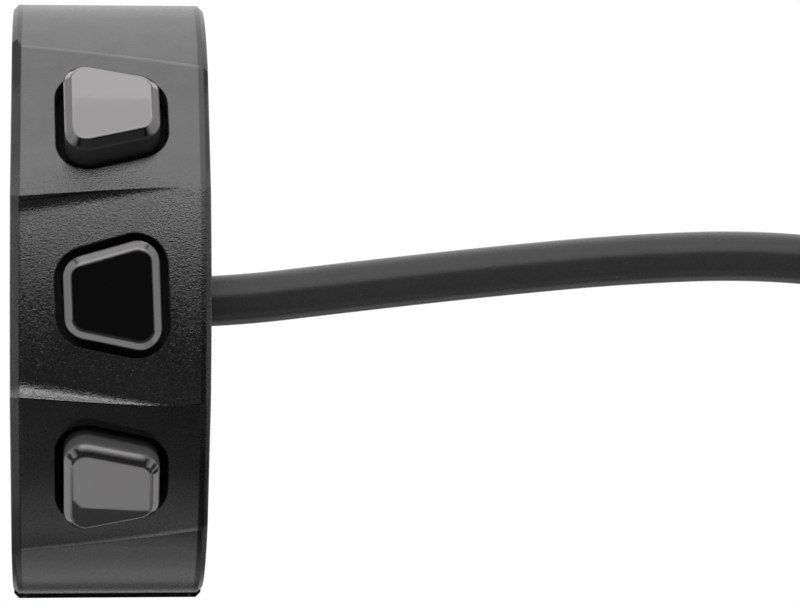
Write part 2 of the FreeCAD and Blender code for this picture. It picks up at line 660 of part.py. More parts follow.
def build_cable_fixings():
    passage = along_bar("bush_bore", CABLE_HOLE, "0", PAST_RIM, CABLE_AXIS)
    body = along_bar("bush_body", f"{BUSH_HOLE} - press_gap", FLANGE_INSIDE, RIM, CABLE_AXIS)
    flange = along_bar("bush_flange", FLANGE_RADIUS, FLANGE_INSIDE, WALL_INSIDE, CABLE_AXIS)
    part(cut("bush", fuse("bush_blank", [body, flange]), [passage]), "cable_bush")
    ring = along_bar("crimp_ring", f"{CABLE_HOLE} + crimp_wall", CABLE_START, FLANGE_INSIDE, CABLE_AXIS)
    inside = along_bar("crimp_bore", CABLE_HOLE, "0", PAST_RIM, CABLE_AXIS)
    part(cut("crimp", ring, [inside]), "cable_crimp")


# Cable, its coil and its end

# The cable's free route from its exit, chosen by hand: along the bar, then down towards the coil.
CABLE_ROUTE = [
    (1.05, 0.0, 0.0),
    (9.15, 0.1, 0.98),
    (18.15, 0.3, 1.98),
    (27.15, 0.6, 2.82),
    (36.15, 0.8, 3.16),
    (44.85, 0.9, 2.2),
    (52.55, 0.9, -2.6),
    (57.65, 0.9, -10.3),
    (59.65, 0.9, -19.3),
]
EXIT = V(amount(RIM), -amount(CABLE_REACH), -SIZE["cable_drop"])
COIL_ENTRY = EXIT + V(SIZE["coil_right"], SIZE["coil_back"], -SIZE["coil_low"])
COIL_AT = (f"({RIM} + coil_right)", f"(coil_back - {CABLE_REACH})", "(-cable_drop - coil_low)")
TURNS_PER_LAYER = 2.25


def rounded_path(points, share=0.45):
    """Straight runs joined by tangent arcs, each as large as its two runs allow."""
    corners = [V(point) for point in points]
    edges = []
    radii = []
    start = corners[0]
    for before, here, after in zip(corners, corners[1:], corners[2:]):
        back = (before - here).normalize()
        on = (after - here).normalize()
        half_turn = (math.pi - back.getAngle(on)) / 2
        reach = share * min((before - here).Length, (after - here).Length)
        radius = reach / math.tan(half_turn)
        centre = here + (back + on).normalize() * math.hypot(reach, radius)
        arc_start = here + back * reach
        arc_end = here + on * reach
        middle = centre + (here - centre).normalize() * radius
        edges.append(Part.LineSegment(start, arc_start).toShape())
        edges.append(Part.Arc(arc_start, middle, arc_end).toShape())
        radii.append(radius)
        start = arc_end
    edges.append(Part.LineSegment(start, corners[-1]).toShape())
    return Part.Wire(edges), radii


def tube_along(name, path, radius):
    """A round tube along a smooth path, as one solid."""
    start = path.Edges[0]
    along = start.tangentAt(start.FirstParameter)
    section = Part.Wire(Part.makeCircle(radius, start.valueAt(start.FirstParameter), along))
    solid = path.makePipeShell([section], True, False)
    expected = math.pi * radius ** 2 * path.Length
    print(f"{name}: length {path.Length:.1f}, volume {solid.Volume:.2f}, section by length {expected:.2f}")
    return solid


def coil_path():
    """The coil's middle line: it spirals in, climbs a layer in a half turn and spirals out again."""
    thick = 2 * SIZE["cable_radius"]
    pitch = thick + SIZE["coil_gap"]
    step = pitch / 4
    quarters = int(4 * TURNS_PER_LAYER)
    outer = SIZE["coil_middle"] + TURNS_PER_LAYER / 2 * pitch
    here = COIL_ENTRY
    edges = [Part.LineSegment(here + V(0, 0, thick), here).toShape()]
    outward = V(1, 0, 0)

    def quarter(here, outward, radius):
        """A quarter turn in the coil's plane: right, down, left, up and right again."""
        onward = V(outward.z, 0, -outward.x)
        centre = here - outward * radius
        middle = centre + (outward + onward) * (radius / math.sqrt(2))
        end = centre + onward * radius
        edges.append(Part.Arc(here, middle, end).toShape())
        return end, onward

    radii = [outer - step * (k + 0.5) for k in range(quarters)]
    for radius in radii:
        here, outward = quarter(here, outward, radius)
    inner = outer - step * quarters
    onward = V(outward.z, 0, -outward.x)
    top = here - outward * (2 * inner) + V(0, pitch, 0)
    centre = (here + top) * 0.5
    tilted = (here - centre).Length
    half_way = centre + onward * tilted
    spread = (here - centre).normalize()
    first = centre + (spread + onward) * (tilted / math.sqrt(2))
    second = centre + (onward - spread) * (tilted / math.sqrt(2))
    edges.append(Part.Arc(here, first, half_way).toShape())
    edges.append(Part.Arc(half_way, second, top).toShape())
    here, outward = top, outward * -1
    for radius in reversed(radii):
        here, outward = quarter(here, outward, radius)
    edges.append(Part.LineSegment(here, here - V(0, 0, thick)).toShape())
    return Part.Wire(edges), here - V(0, 0, thick)


def least_gap(path, radius):
    """The least gap between turns of a tube, measured between points half a millimetre apart."""
    points = path.discretize(Number=int(path.Length * 2))
    apart = path.Length / (len(points) - 1)
    skip = int(4 * math.pi * radius / apart)
    nearest = min((points[k] - other).Length for k in range(len(points)) for other in points[k + skip:])
    return nearest - 2 * radius


def build_cable():
    radius = SIZE["cable_radius"]
    start = V(amount(CABLE_START), EXIT.y, EXIT.z)
    last = [COIL_ENTRY + V(0, 0, SIZE["coil_run"]), COIL_ENTRY + V(0, 0, 2 * radius)]
    free, radii = rounded_path([start] + [EXIT + V(*point) for point in CABLE_ROUTE] + last)
    print("cable's bend radii:", [round(bend, 1) for bend in radii])
    part(kept_shape("cable_tube", tube_along("cable", free, radius)), "cable")
    coil, end = coil_path()
    print(f"coil's least gap to itself: {least_gap(coil, radius):.3f}")
    part(kept_shape("coil_tube", tube_along("cable_coil", coil, radius)), "cable_coil")
    print(f"whole cable: {free.Length + coil.Length:.1f}")
    return end


def build_tie():
    """A band round the coil's left side, with its lock and its free end."""
    pitch = "(2 * cable_radius + coil_gap)"
    room = "(cable_radius + tie_gap)"
    across, away, level = COIL_AT
    centre = f"({across} - coil_middle - {TURNS_PER_LAYER / 2} * {pitch})"
    outermost = f"(coil_middle + {TURNS_PER_LAYER / 2 - 0.5} * {pitch} + {room})"
    innermost = f"(coil_middle - {TURNS_PER_LAYER / 2} * {pitch} - {pitch} / 8 - {room})"
    front = f"({away} - {room})"
    back = f"({away} + {pitch} + {room})"
    low = f"({level} - tie_width / 2)"
    high = f"({level} + tie_width / 2)"
    left = f"({centre} - {outermost})"
    right = f"({centre} - {innermost})"
    inside = rounded_prism("tie_inside", rectangle(left, right, front, back), f"{low} - {OVER}",
                           f"{high} + {OVER}", room)
    corners = rectangle(f"{left} - tie_thick", f"{right} + tie_thick", f"{front} - tie_thick",
                        f"{back} + tie_thick")
    outside = rounded_prism("tie_outside", corners, low, high, f"{room} + tie_thick")
    lock_left = f"{left} - tie_thick - tie_head / 2"
    middle = f"(({front} + {back}) / 2)"
    lock = box("tie_lock", (lock_left, f"{middle} - tie_head / 2", f"{level} - tie_head / 2"),
               ("tie_head / 2 + tie_thick / 2", "tie_head", "tie_head"))
    tail = box("tie_end", (f"{lock_left} + tie_thick / 2", middle, low),
               ("tie_thick", "tie_head / 2 + tie_tail", "tie_width"))
    band = cut("tie_band", outside, [inside])
    part(fuse("tie", [band, lock, tail]), "coil_tie")


def build_cable_end(end):
    """A shrunk sleeve over the cable's end, four leads out of it and their tinned tips."""
    x, y, z = end
    mouth = z + 2 * SIZE["cable_radius"] - SIZE["sleeve_gap"]
    foot = mouth - SIZE["sleeve_length"]
    outside = Part.makeCylinder(SIZE["sleeve_radius"], SIZE["sleeve_length"], V(x, y, foot))
    inside = Part.makeCylinder(SIZE["cable_radius"] + SIZE["press_gap"], mouth - z, V(x, y, z))
    part(kept_shape("sleeve", outside.cut(inside)), "cable_end_sleeve")
    leads = []
    tips = []
    near = SIZE["lead_radius"] + SIZE["lead_gap"] / 2
    fan = SIZE["lead_fan"]
    quarter = V(0, 0, -SIZE["lead_length"] / 4)
    for side in (-1, 1):
        for depth, spread in ((-1, SIZE["lead_spread"]), (1, SIZE["lead_spread_behind"])):
            top = V(x + side * near, y + depth * near, foot)
            apart = V(x + side * spread, y + depth * fan, foot)
            route = [top, top + quarter, apart + quarter * 3, apart + quarter * 4]
            path = rounded_path(route)[0]
            leads.append(kept_shape("lead", tube_along("lead", path, SIZE["lead_radius"])))
            tip = Part.makeCylinder(SIZE["tip_radius"], SIZE["tip_length"], route[-1], V(0, 0, -1))
            tips.append(kept_shape("tip", tip))
    part(group("lead_group", leads), "wire_leads")
    part(group("tip_group", tips), "wire_tips")


def build_inner_wires():
    """Four wires from the jacket's end to the middle board's pads."""
    wires = []
    bend = SIZE["wire_bend"]
    solder_place = SIZE["button_shift"] + SIZE["base_size"] / 2 + SIZE["wire_gap"] + SIZE["wire_radius"]
    for k in range(WIRES):
        up = EXIT.z + (k - (WIRES - 1) / 2) * SIZE["wire_pitch"]
        corner = V(solder_place + bend, EXIT.y, up)
        low = V(solder_place, EXIT.y + bend, up)
        middle = V(corner.x - bend / math.sqrt(2), low.y - bend / math.sqrt(2), up)
        path = Part.Wire([
            Part.LineSegment(V(amount(CABLE_START), EXIT.y, up), corner).toShape(),
            Part.Arc(corner, middle, low).toShape(),
            Part.LineSegment(low, V(solder_place, -amount(BOARD_LEVEL), up)).toShape(),
        ])
        wires.append(kept_shape("wire", tube_along("inner wire", path, SIZE["wire_radius"])))
    part(group("wire_group", wires), "inner_wires")


def build_all():
    build_front_housing()
    build_rear_clamp()
    build_clamp_screws()
    for side, step in BUTTONS.items():
        build_cap(side, step)
        build_seal(side, step)
        build_plunger(side, step)
        build_dome(side, step)
        build_switch_base(side, step)
    build_circuit_board()
    build_cover()
    build_cable_fixings()
    build_inner_wires()
    end = build_cable()
    build_tie()
    build_cable_end(end)


def check_and_write():
    """Stops on anything that failed to build, then writes one file for each sub-part."""
    doc.recompute()
    failed = [thing.Name for thing in doc.Objects if {"Invalid", "Error"} & set(thing.State)]
    failed += [thing.Label for thing in parts if thing.Shape.isNull() or not thing.Shape.isValid()]
    if failed:
        raise RuntimeError("these didn't build: " + ", ".join(failed))
    os.makedirs("parts", exist_ok=True)
    for thing in parts:
        thing.Shape.exportStep(f"parts/{thing.Label}.step")
        print(f"{thing.Label}: {len(thing.Shape.Solids)} solids, {thing.Shape.Volume:.3f} mm3")


build_all()
check_and_write()
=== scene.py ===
# Looks of a three-button handlebar switch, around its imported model. Metres, Z up, buttons face -Y.
import bmesh
import bpy
import math
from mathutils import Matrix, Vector


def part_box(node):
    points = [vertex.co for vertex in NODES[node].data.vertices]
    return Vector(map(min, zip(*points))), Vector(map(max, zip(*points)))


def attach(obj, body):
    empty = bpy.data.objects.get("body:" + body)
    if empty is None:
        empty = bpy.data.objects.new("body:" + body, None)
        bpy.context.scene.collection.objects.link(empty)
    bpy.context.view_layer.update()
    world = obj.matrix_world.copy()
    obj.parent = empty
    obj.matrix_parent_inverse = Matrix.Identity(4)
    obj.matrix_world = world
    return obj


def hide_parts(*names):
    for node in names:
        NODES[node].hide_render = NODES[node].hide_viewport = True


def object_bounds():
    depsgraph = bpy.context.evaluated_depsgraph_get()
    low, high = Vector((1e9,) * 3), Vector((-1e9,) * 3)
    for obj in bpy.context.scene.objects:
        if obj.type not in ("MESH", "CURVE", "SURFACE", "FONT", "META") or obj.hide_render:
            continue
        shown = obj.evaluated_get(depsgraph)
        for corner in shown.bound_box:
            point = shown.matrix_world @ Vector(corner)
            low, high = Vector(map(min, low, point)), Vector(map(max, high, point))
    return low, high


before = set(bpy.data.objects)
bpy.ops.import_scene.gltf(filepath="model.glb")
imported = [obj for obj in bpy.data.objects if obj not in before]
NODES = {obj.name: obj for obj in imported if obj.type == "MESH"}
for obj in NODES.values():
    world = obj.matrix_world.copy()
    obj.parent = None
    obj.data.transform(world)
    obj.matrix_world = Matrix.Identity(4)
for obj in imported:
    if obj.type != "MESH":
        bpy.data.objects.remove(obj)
CAD_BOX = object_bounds()
MM = 0.001
BUTTONS = ("upper", "middle", "lower")
OUTER_RADIUS = 20 * MM

# Material building blocks


class Nodes:
    """A node tree under construction, with a few shorthand calls."""

    def __init__(self, tree):
        self.tree = tree

    def node(self, kind, **settings):
        made = self.tree.nodes.new(kind)
        for name, value in settings.items():
            setattr(made, name, value)
        return made

    def link(self, source, target):
        self.tree.links.new(source, target)

    def math(self, operation, first, second=None):
        """An operation on one or two values, each a number or a socket."""
        made = self.node("ShaderNodeMath", operation=operation)
        for socket, value in zip(made.inputs, (first, second)):
            if value is None:
                continue
            if isinstance(value, (int, float)):
                socket.default_value = value
            else:
                self.link(value, socket)
        return made.outputs[0]

    def chain(self, operation, values):
        """An operation on two values at a time, from the first to the last."""
        found = values[0]
        for value in values[1:]:
            found = self.math(operation, found, value)
        return found

    def highest(self, *values):
        return self.chain("MAXIMUM", values)

    def product(self, *values):
        return self.chain("MULTIPLY", values)

    def ramp(self, source, low, high, low_value=0.0, high_value=1.0):
        """Maps a value from one range to another, and holds it at the ends."""
        made = self.node("ShaderNodeMapRange", clamp=True, interpolation_type="SMOOTHSTEP")
        for socket, value in zip(("From Min", "From Max", "To Min", "To Max"),
                                 (low, high, low_value, high_value)):
            made.inputs[socket].default_value = value
        self.link(source, made.inputs["Value"])
        return made.outputs[0]

    def fade(self, source, low, high):
        """1 up to the low value, falling to 0 at the high one."""
        return self.ramp(source, low, high, 1.0, 0.0)

    def off(self, mask, rest=0.0):
        """1 where the mask is 0, falling to the rest where it is 1."""
        return self.ramp(mask, 0.0, 1.0, 1.0, rest)

    def axes(self, source):
        """A vector's three parts."""
        made = self.node("ShaderNodeSeparateXYZ")
        self.link(source, made.inputs[0])
        return made.outputs["X"], made.outputs["Y"], made.outputs["Z"]

    def vectors(self, operation, *sources):
        made = self.node("ShaderNodeVectorMath", operation=operation)
        for socket, source in zip(made.inputs, sources):
            self.link(source, socket)
        return made.outputs["Vector" if operation == "NORMALIZE" else "Value"]


class Look(Nodes):
    """A material under construction: its node tree and its shader."""

    def __init__(self, name, color, roughness, metallic=0.0, **sockets):
        self.material = bpy.data.materials.new(name)
        self.material.use_nodes = True
        super().__init__(self.material.node_tree)
        self.shader = self.tree.nodes["Principled BSDF"]
        self.set("Base Color", (*color, 1))
        self.set("Roughness", roughness)
        self.set("Metallic", metallic)
        for socket, value in sockets.items():
            self.set(socket.replace("_", " "), value)
        coordinates = self.node("ShaderNodeTexCoord")
        self.place = coordinates.outputs["Object"]
        self.normal = coordinates.outputs["Normal"]

    def set(self, socket, value):
        self.shader.inputs[socket].default_value = value

    def scaled(self, x, y, z):
        """The place on the object, stretched along each axis."""
        made = self.node("ShaderNodeMapping")
        made.inputs["Scale"].default_value = (x, y, z)
        self.link(self.place, made.inputs["Vector"])
        return made.outputs[0]

    def noise(self, size, detail=2.0, roughness=0.5, source=None):
        """Noise whose lumps are about size metres wide."""
        made = self.node("ShaderNodeTexNoise")
        made.inputs["Scale"].default_value = 1 / size
        made.inputs["Detail"].default_value = detail
        made.inputs["Roughness"].default_value = roughness
        self.link(source or self.place, made.inputs["Vector"])
        return made.outputs["Fac"]

    def color(self, factor, first, second):
        """The shader's colour: the first where the factor is 0, the second where it is 1."""
        made = self.node("ShaderNodeMix", data_type="RGBA")
        self.link(factor, made.inputs["Factor"])
        made.inputs["A"].default_value = (*first, 1)
        made.inputs["B"].default_value = (*second, 1)
        self.link(made.outputs["Result"], self.shader.inputs["Base Color"])

    def roughness(self, value):
        self.link(value, self.shader.inputs["Roughness"])

    def rounded(self, radius):
        """Normals that round the mesh's edges, by a radius that is a number or a socket."""
        made = self.node("ShaderNodeBevel", samples=8)
        if isinstance(radius, float):
            made.inputs["Radius"].default_value = radius
        else:
            self.link(radius, made.inputs["Radius"])
        self.link(made.outputs["Normal"], self.shader.inputs["Normal"])
        return made.outputs["Normal"]

    def bump(self, height, depth, strength=1.0, under=None):
        """Bump whose full height is depth metres, on top of the normals under it."""
        made = self.node("ShaderNodeBump")
        made.inputs["Distance"].default_value = depth
        if isinstance(strength, (int, float)):
            made.inputs["Strength"].default_value = strength
        else:
            self.link(strength, made.inputs["Strength"])
        self.link(height, made.inputs["Height"])
        if under:
            self.link(under, made.inputs["Normal"])
        self.link(made.outputs["Normal"], self.shader.inputs["Normal"])
        return made.outputs["Normal"]

    def from_axis(self):
        """The distance from the bar's axis."""
        return self.vectors("LENGTH", self.scaled(0, 1, 1))

    def facing_out(self):
        """How far the surface faces away from the bar: 1 on the ring's outside, 0 on a pocket's wall."""
        outward = self.vectors("NORMALIZE", self.scaled(0, 1, 1))
        return self.math("ABSOLUTE", self.vectors("DOT_PRODUCT", outward, self.normal))

    def openness(self, reach):
        """1 in the open, falling to 0 deep in a gap about reach metres wide."""
        made = self.node("ShaderNodeAmbientOcclusion", samples=8)
        made.inputs["Distance"].default_value = reach
        return self.ramp(made.outputs["AO"], 0.1, 0.5)


# Finishes


class Anodised(Look):
    """The housing's finish: blasted round the middle button and finely turned elsewhere.

    Each mask is 1 on its part of the housing and 0 elsewhere. Besides the finish, the colour carries
    painted shade and painted highlights.
    """

    DARKEST = (0.014, 0.014, 0.0145)
    LIGHTEST = (0.45, 0.444, 0.452)
    TONE = 0.48
    LOWER_FLAT_RISE = -0.6  # the upward part of the lower flat's normal

    def __init__(self):
        super().__init__("black_anodised", (0.22, 0.217, 0.221), 0.25, 1.0,
                         Specular_Tint=(0.85, 0.85, 0.85, 1))
        self.x, y, self.level = self.axes(self.place)
        sideways, _, upward = self.axes(self.normal)
        self.aside, self.sideways, self.far = (
            self.math("ABSOLUTE", part) for part in (self.x, sideways, self.level))
        self.depth = self.from_axis()
        self.front = self.fade(y, -9 * MM, -8 * MM)

        pocket_floor = self.product(self.ramp(self.depth, 16.5 * MM, 17 * MM),
                                    self.fade(self.depth, 18.1 * MM, 18.4 * MM), self.front)
        pocket_wall = self.fade(self.facing_out(), 0.19, 0.25)
        self.pocket = self.product(self.highest(pocket_floor, pocket_wall),
                                   self.fade(self.aside, 5.4 * MM, 5.6 * MM))

        self.rim = self.product(self.ramp(self.aside, 5.6 * MM, 5.8 * MM),
                                self.fade(self.aside, 6.25 * MM, 6.3 * MM))
        self.ledge = self.product(self.ramp(upward, 0.1, 0.4),
                                  self.fade(self.level, -5.5 * MM, -4.5 * MM), self.front)
        off_slope = self.math("ABSOLUTE", self.math("SUBTRACT", upward, self.LOWER_FLAT_RISE))
        self.lower_flat = self.product(self.fade(off_slope, 0.06, 0.09), self.front, self.off(self.rim))

        self.add_color()
        self.add_relief()

    def flat_edges(self):
        """A narrow line where a flat runs out into the round outside."""
        return self.product(self.ramp(self.depth, OUTER_RADIUS - 0.1 * MM, OUTER_RADIUS - 0.03 * MM),
                            self.fade(self.facing_out(), 0.998, 0.9995),
                            self.ramp(self.far, 12 * MM, 13.5 * MM))

    def chamfers(self):
        """The chamfers along the ring's sides, on its upper and lower bands."""
        return self.product(self.ramp(self.sideways, 0.35, 0.6), self.fade(self.sideways, 0.85, 0.95),
                            self.ramp(self.far, 12.5 * MM, 14.5 * MM))

    def painted_light_and_shade(self):
        """Painted light and shade on the outside, from the darkest at 0 to the lightest at 1."""
        level = self.level
        # Painted shade on the lower flat, painted highlights on the ledges and painted highlight lines
        # along the flat edges.
        painted_flat_shade = self.product(self.ramp(level, -15.2 * MM, -10.5 * MM, 0.0, 0.3), self.lower_flat)
        painted_ledge_highlights = self.product(self.ledge, 0.52)
        painted_edge_highlights = self.product(self.flat_edges(), self.ramp(level, -1 * MM, 1 * MM, 0.7, 0.2))
        painted_light_and_shade = self.math("SUBTRACT", self.TONE, painted_flat_shade)
        painted_light_and_shade = self.math("ADD", self.math("ADD", painted_light_and_shade, painted_ledge_highlights), painted_edge_highlights)

        # Painted light and shade by height and side: a dimmer top band, a darker low band, a lighter
        # bottom, darker rims and chamfers, and more painted shade on the lower rims.
        top = self.ramp(level, 16.5 * MM, 19.5 * MM, 1.0, 0.9)
        low_band = self.ramp(level, -16.2 * MM, -14.6 * MM, 0.66, 1.0)
        bottom = self.ramp(level, -19 * MM, -16.5 * MM, 1.35, 1.0)
        low_rim = self.product(self.rim, self.fade(level, -12 * MM, -4 * MM),
                               self.ramp(self.x, -1 * MM, 1 * MM, -0.4, -0.8))
        return self.product(painted_light_and_shade, top, low_band, bottom, self.off(self.rim, 0.55),
                            self.off(self.chamfers(), 0.5), self.math("ADD", low_rim, 1.0))

    def add_color(self):
        patches = self.ramp(self.noise(2.5 * MM, 3, 0.6), 0.3, 0.7, 0.92, 1.0)
        # The outside: painted shade in creases and round gaps, the painted light and shade above, a random
        # tone of its own, and painted shade over the pockets.
        outside = self.product(self.openness(0.8 * MM), patches, self.painted_light_and_shade(), self.off(self.pocket, 0.04))
        # Painted shade inside the pockets, less of it in the middle pocket.
        painted_pocket_shade = self.product(self.pocket, self.ramp(self.far, 5 * MM, 7 * MM, 0.65, 0.22))
        self.color(self.highest(outside, painted_pocket_shade), self.DARKEST, self.LIGHTEST)

        smooth = self.ramp(self.noise(0.3 * MM, 3), 0.3, 0.7, 0.22, 0.29)
        self.roughness(self.highest(smooth, self.product(self.pocket, 0.9)))

    def add_relief(self):
        """Blasted grain, turned lines along the bands and rings on the side faces."""
        blasted = self.product(self.ramp(self.level, 6.8 * MM, 9 * MM, 1.0, 0.08),
                               self.ramp(self.level, -12.5 * MM, -10.5 * MM, 0.04, 1.0),
                               self.off(self.lower_flat, 0.04),
                               self.ramp(self.front, 0.0, 1.0, 0.15, 1.0),
                               self.off(self.pocket, 0.1))
        grain = self.noise(0.1 * MM, 1, 0.6)
        under = self.bump(grain, 0.06 * MM, blasted, self.rounded(0.15 * MM))

        turned = self.ramp(self.far, 12.5 * MM, 16 * MM, 0.0, 0.8)
        lines = self.noise(0.12 * MM, 2, 0.5, self.scaled(1, 0.03, 0.03))
        under = self.bump(lines, 0.016 * MM, turned, under)

        side_faces = self.ramp(self.aside, 6.3 * MM, 6.34 * MM, 0.0, 0.4)
        radius = self.node("ShaderNodeCombineXYZ")
        self.link(self.depth, radius.inputs["X"])
        rings = self.noise(0.12 * MM, 2, 0.5, radius.outputs[0])
        self.bump(rings, 0.01 * MM, side_faces, under)


def cap_metal():
    """Dark chrome: a clean mirror, over sides that are matt up to their polished rim, with painted shade
    on the matt sides.
    """
    chrome, shaded_matt = (0.4, 0.392, 0.39), (0.013, 0.013, 0.013)
    look = Look("black_chrome", chrome, 0.02, 1.0)
    level = look.axes(look.place)[2]
    upward = look.axes(look.normal)[2]
    lower_cap = look.fade(level, -7 * MM, -6 * MM)

    # The lower cap's upper bevel is the fuller one.
    crown = look.product(look.ramp(upward, 0.05, 0.12), lower_cap)
    edges = look.rounded(look.ramp(crown, 0.0, 1.0, 0.28 * MM, 0.75 * MM))

    side = look.fade(look.facing_out(), 0.3, 0.4)
    off_rim = look.ramp(look.vectors("DOT_PRODUCT", look.normal, edges), 0.965, 0.99)
    matt = look.product(side, off_rim)
    # Painted shadow at the lower cap's foot, and painted shade on the matt sides, deeper the higher the
    # cap.
    painted_foot_shadow = look.product(look.ramp(look.from_axis(), 19.4 * MM, 20.1 * MM, 0.93, 0.0), lower_cap)
    painted_side_shade = look.highest(painted_foot_shadow, look.ramp(level, -5 * MM, 5 * MM, 0.54, 0.88))
    look.color(look.product(matt, painted_side_shade), chrome, shaded_matt)
    look.link(look.math("SUBTRACT", 1.0, matt), look.shader.inputs["Metallic"])

    smudges = look.ramp(look.noise(1.2 * MM, 3, 0.6), 0.4, 0.75, 0.015, 0.03)
    look.roughness(look.highest(smudges, look.product(side, 0.5)))
    look.bump(look.noise(1.6 * MM, 1), 0.004 * MM, 0.15, edges)
    return look.material


def cable_jacket():
    """Smooth rubber with a fine grain and a few pale specks."""
    rubber, speck = (0.065, 0.065, 0.066), (0.12, 0.118, 0.115)
    look = Look("cable_jacket", rubber, 0.4, Specular_IOR_Level=0.75)
    grain = look.noise(0.2 * MM, 3, 0.6)
    look.color(look.ramp(look.noise(0.35 * MM, 1), 0.74, 0.8), rubber, speck)
    look.roughness(look.ramp(grain, 0.3, 0.7, 0.26, 0.34))
    look.bump(grain, 0.01 * MM, 0.4)
    return look.material


def plain(name, color, roughness, metallic=0.0):
    """One colour, slightly uneven, with a fine grain."""
    look = Look(name, color, roughness, metallic)
    grain = look.noise(0.2 * MM, 3, 0.6)
    look.color(look.ramp(grain, 0.3, 0.7), [0.88 * c for c in color], [1.1 * c for c in color])
    look.bump(grain, 0.01 * MM, 0.4)
    return look.material


LEAD_COLORS = [(0.02, 0.02, 0.02), (0.5, 0.03, 0.02), (0.55, 0.38, 0.03), (0.04, 0.12, 0.45)]


def lead_insulation():
    """Each lead has its own colour, from left to right."""
    look = Look("lead_insulation", LEAD_COLORS[0], 0.4)
    share = look.node("ShaderNodeMapRange")
    low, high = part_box("wire_leads")
    share.inputs["From Min"].default_value = low[0]
    share.inputs["From Max"].default_value = high[0]
    look.link(look.axes(look.place)[0], share.inputs["Value"])
    bands = look.node("ShaderNodeValToRGB")
    bands.color_ramp.interpolation = "CONSTANT"
    stops = bands.color_ramp.elements
    for k, color in enumerate(LEAD_COLORS):
        start = k / len(LEAD_COLORS)
        stop = stops[k] if k < len(stops) else stops.new(start)
        stop.position = start
        stop.color = (*color, 1)
    look.link(share.outputs[0], bands.inputs[0])
    look.link(bands.outputs["Color"], look.shader.inputs["Base Color"])
    look.bump(look.noise(0.2 * MM, 3, 0.6), 0.01 * MM, 0.4)
    return look.material


def dress_nodes():
    """Gives each kept CAD node its finish."""
    finishes = [
        (Anodised().material, ["front_housing", "rear_clamp"]),
        (cap_metal(), [f"{side}_button_cap" for side in BUTTONS]),
        (plain("black_rubber", (0.02, 0.02, 0.02), 0.6),
         [f"{side}_button_seal" for side in BUTTONS] + ["cable_bush", "cover_gasket"]),
        (plain("acetal", (0.75, 0.74, 0.7), 0.4), [f"{side}_plunger" for side in BUTTONS]),
        (plain("spring_sheet", (0.6, 0.58, 0.52), 0.25, 1.0), [f"{side}_snap_dome" for side in BUTTONS]),
        (plain("switch_nylon", (0.03, 0.03, 0.03), 0.45),
         [f"{side}_switch_base" for side in BUTTONS] + ["coil_tie"]),
        (plain("solder_resist", (0.02, 0.16, 0.06), 0.3), ["circuit_board"]),
        (plain("cover_sheet", (0.12, 0.12, 0.12), 0.4, 0.9), ["inner_cover"]),
        (plain("blackened_steel", (0.1, 0.1, 0.105), 0.35, 0.9), ["clamp_screws"]),
        (plain("stainless", (0.5, 0.5, 0.5), 0.3, 1.0), ["cover_screws"]),
        (plain("tinned_brass", (0.6, 0.5, 0.3), 0.3, 1.0), ["cable_crimp"]),
        (plain("wire_insulation", (0.5, 0.04, 0.03), 0.4), ["inner_wires"]),
        (plain("shrunk_sleeve", (0.02, 0.02, 0.02), 0.5), ["cable_end_sleeve"]),
        (lead_insulation(), ["wire_leads"]),
        (plain("tinned_copper", (0.7, 0.7, 0.7), 0.25, 1.0), ["wire_tips"]),
    ]
    for material, names in finishes:
        for name in names:
            mesh = NODES[name].data
            mesh.materials.clear()
            mesh.materials.append(material)


# Cable

CABLE_DIAMETER = 3.25 * MM
# The cable's free route, listed in millimetres.
CABLE_ROUTE = [
    (3.9, -14.6, -0.3),
    (7.4, -14.6, -0.3),
    (15.5, -14.5, 0.68),
    (24.5, -14.3, 1.68),
    (33.5, -14.0, 2.52),
    (42.5, -13.8, 2.86),
    (51.2, -13.7, 1.9),
    (58.9, -13.7, -2.9),
    (64.0, -13.7, -10.6),
    (66.0, -13.7, -19.6),
    (66.4, -13.7, -30.0),
]
COIL_ENTRY = Vector((66.4, -13.7, -44.5)) * MM
COIL_PITCH = 3.95 * MM
COIL_MIDDLE = 17.9 * MM
TURNS_PER_LAYER = 2.25
CLIMB_TURNS = 0.5
POINTS_PER_TURN = 16


def coil_points():
    """The coil's turns: they spiral in, climb a layer in half a turn and spiral out again."""
    outer = COIL_MIDDLE + TURNS_PER_LAYER / 2 * COIL_PITCH
    inner = outer - TURNS_PER_LAYER * COIL_PITCH
    centre = COIL_ENTRY - Vector((outer, 0, 0))
    turns = 2 * TURNS_PER_LAYER + CLIMB_TURNS
    # The smooth run cuts the corners between its points, so they lie a little further out.
    swell = 1 / math.cos(math.pi / POINTS_PER_TURN)
    points = []
    for k in range(int(turns * POINTS_PER_TURN) + 1):
        turn = k / POINTS_PER_TURN
        climb = min(max((turn - TURNS_PER_LAYER) / CLIMB_TURNS, 0), 1)
        from_reversal = max(TURNS_PER_LAYER - turn, turn - TURNS_PER_LAYER - CLIMB_TURNS, 0)
        radius = (inner + from_reversal * COIL_PITCH) * swell
        layer = COIL_PITCH * (1 - math.cos(math.pi * climb)) / 2
        angle = -math.tau * turn
        points.append(centre + Vector((radius * math.cos(angle), layer, radius * math.sin(angle))))
    return points


def cable():
    """One smooth run along the route and round the coil, in place of the CAD's plain tubes."""
    coil = coil_points()
    route = [Vector(point) * MM for point in CABLE_ROUTE] + coil
    route.append(coil[-1] + Vector((0, 0, -CABLE_DIAMETER)))
    curve = bpy.data.curves.new("cable_run", "CURVE")
    curve.dimensions = "3D"
    curve.bevel_depth = CABLE_DIAMETER / 2
    curve.bevel_resolution = 8
    curve.resolution_u = 8
    curve.use_fill_caps = True
    spline = curve.splines.new("NURBS")
    spline.points.add(len(route) - 1)
    for point, place in zip(spline.points, route):
        point.co = (*place, 1)
    spline.order_u = 3
    spline.use_endpoint_u = True
    piece = bpy.data.objects.new("cable_run", curve)
    bpy.context.scene.collection.objects.link(piece)
    curve.materials.append(cable_jacket())
    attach(piece, "root")
    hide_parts("cable", "cable_coil")


